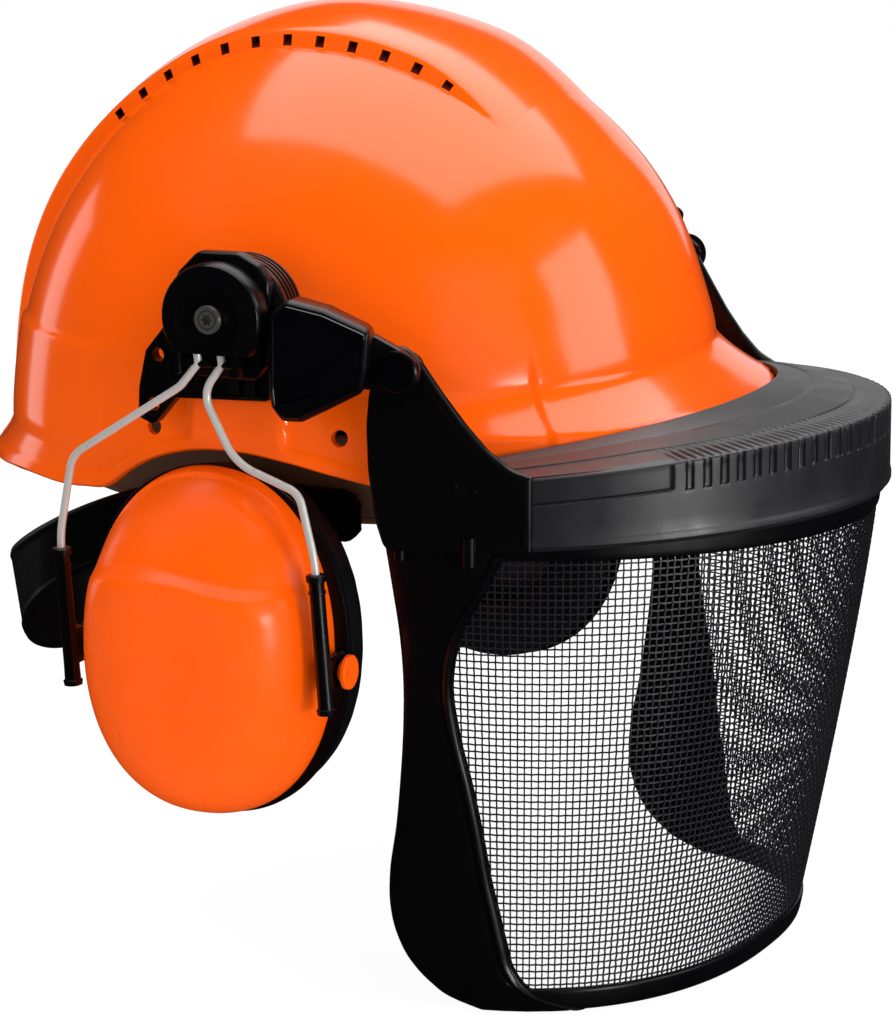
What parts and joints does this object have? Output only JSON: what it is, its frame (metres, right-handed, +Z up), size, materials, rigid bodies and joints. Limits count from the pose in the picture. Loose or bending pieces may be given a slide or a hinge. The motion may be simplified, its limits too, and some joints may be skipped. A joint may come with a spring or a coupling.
{
  "type": "hard hat",
  "caption": "Forestry hard hat with a vented shell, six-point suspension, fold-out ear muffs on wire arms and a lift-up woven mesh visor.",
  "frame": {"origin": "the head seat: the centre of the headband's opening, level with the side rim", "axes": "+Z up, -Y to the front where the brim and visor are, -X to the wearer's right"},
  "size_m": [0.2946, 0.3035, 0.3024],
  "materials": {
    "shell_abs": "glossy orange ABS",
    "cup_abs": "glossy orange ABS",
    "black_plastic": "moulded black nylon",
    "guard_plastic": "fine-grained dark grey polymer",
    "band_plastic": "light grey polyethylene",
    "textile_strap": "woven tape",
    "sweatband_foam": "perforated leatherette",
    "steel": "polished stainless steel",
    "mesh_wire": "black coated steel wire cloth",
    "cushion_skin": "soft black PVC skin",
    "foam": "open-cell foam"
  },
  "bodies": {
    "helmet": {"shell": "shell_abs", "headband": "band_plastic", "sweatband": "sweatband_foam", "crown_strap_1": "textile_strap", "crown_strap_2": "textile_strap", "crown_strap_3": "textile_strap", "strap_clip_1": "band_plastic", "strap_clip_2": "band_plastic", "strap_clip_3": "band_plastic", "strap_clip_4": "band_plastic", "strap_clip_5": "band_plastic", "strap_clip_6": "band_plastic", "bracket_right": "black_plastic", "housing_right": "black_plastic", "latch_block_right": "black_plastic", "knuckle_pin_right": "steel", "pivot_screw_right": "steel", "bracket_left": "black_plastic", "housing_left": "black_plastic", "latch_block_left": "black_plastic", "knuckle_pin_left": "steel", "pivot_screw_left": "steel"},
    "nape_support": {"nape_strap": "black_plastic"},
    "visor": {"brow_guard": "guard_plastic", "visor_arm_right": "black_plastic", "visor_arm_left": "black_plastic", "visor_frame": "black_plastic", "visor_mesh": "mesh_wire", "frame_stud_1_right": "black_plastic", "frame_stud_2_right": "black_plastic", "frame_stud_1_left": "black_plastic", "frame_stud_2_left": "black_plastic"},
    "muff_turntable_right": {"pivot_disc_right": "black_plastic"},
    "muff_arm_right": {"yoke_right": "black_plastic", "wire_front_right": "steel", "wire_rear_right": "steel"},
    "muff_slider_right": {"sleeve_front_right": "black_plastic", "sleeve_rear_right": "black_plastic"},
    "ear_cup_right": {"cup_right": "cup_abs", "cup_base_right": "black_plastic", "cushion_right": "cushion_skin", "foam_right": "foam", "pivot_button_front_right": "cup_abs", "pivot_button_rear_right": "cup_abs"},
    "muff_turntable_left": {"pivot_disc_left": "black_plastic"},
    "muff_arm_left": {"yoke_left": "black_plastic", "wire_front_left": "steel", "wire_rear_left": "steel"},
    "muff_slider_left": {"sleeve_front_left": "black_plastic", "sleeve_rear_left": "black_plastic"},
    "ear_cup_left": {"cup_left": "cup_abs", "cup_base_left": "black_plastic", "cushion_left": "cushion_skin", "foam_left": "foam", "pivot_button_front_left": "cup_abs", "pivot_button_rear_left": "cup_abs"}
  },
  "joints": [
    {"name": "visor_lift", "type": "hinge", "parent": "helmet", "child": "visor", "pos_m": [0, -0.0643, 0.0404], "axis": [-1, 0, 0], "range_deg": [0, 80]},
    {"name": "nape_adjust", "type": "slide", "parent": "helmet", "child": "nape_support", "axis": [0, 1, 0], "range_m": [-0.012, 0]},
    {"name": "muff_turn_right", "type": "hinge", "parent": "helmet", "child": "muff_turntable_right", "pos_m": [-0.1253, -0.0062, 0.0539], "axis": [1, 0, 0], "range_deg": [-3, 3]},
    {"name": "muff_swing_right", "type": "hinge", "parent": "muff_turntable_right", "child": "muff_arm_right", "pos_m": [-0.125, -0.0043, 0.0392], "axis": [0, 1, 0], "range_deg": [-7, 28]},
    {"name": "cup_height_right", "type": "slide", "parent": "muff_arm_right", "child": "muff_slider_right", "axis": [0, 0.0797, 0.9968], "range_m": [-0.025, 0]},
    {"name": "cup_tilt_right", "type": "hinge", "parent": "muff_slider_right", "child": "ear_cup_right", "pos_m": [-0.1185, 0, -0.0547], "axis": [0, 1, 0], "range_deg": [-6, 6]},
    {"name": "muff_turn_left", "type": "hinge", "parent": "helmet", "child": "muff_turntable_left", "pos_m": [0.1253, -0.0062, 0.0539], "axis": [1, 0, 0], "range_deg": [-3, 3]},
    {"name": "muff_swing_left", "type": "hinge", "parent": "muff_turntable_left", "child": "muff_arm_left", "pos_m": [0.125, -0.0043, 0.0392], "axis": [0, -1, 0], "range_deg": [-7, 28]},
    {"name": "cup_height_left", "type": "slide", "parent": "muff_arm_left", "child": "muff_slider_left", "axis": [0, 0.0797, 0.9968], "range_m": [-0.025, 0]},
    {"name": "cup_tilt_left", "type": "hinge", "parent": "muff_slider_left", "child": "ear_cup_left", "pos_m": [0.1185, 0, -0.0547], "axis": [0, -1, 0], "range_deg": [-6, 6]}
  ]
}
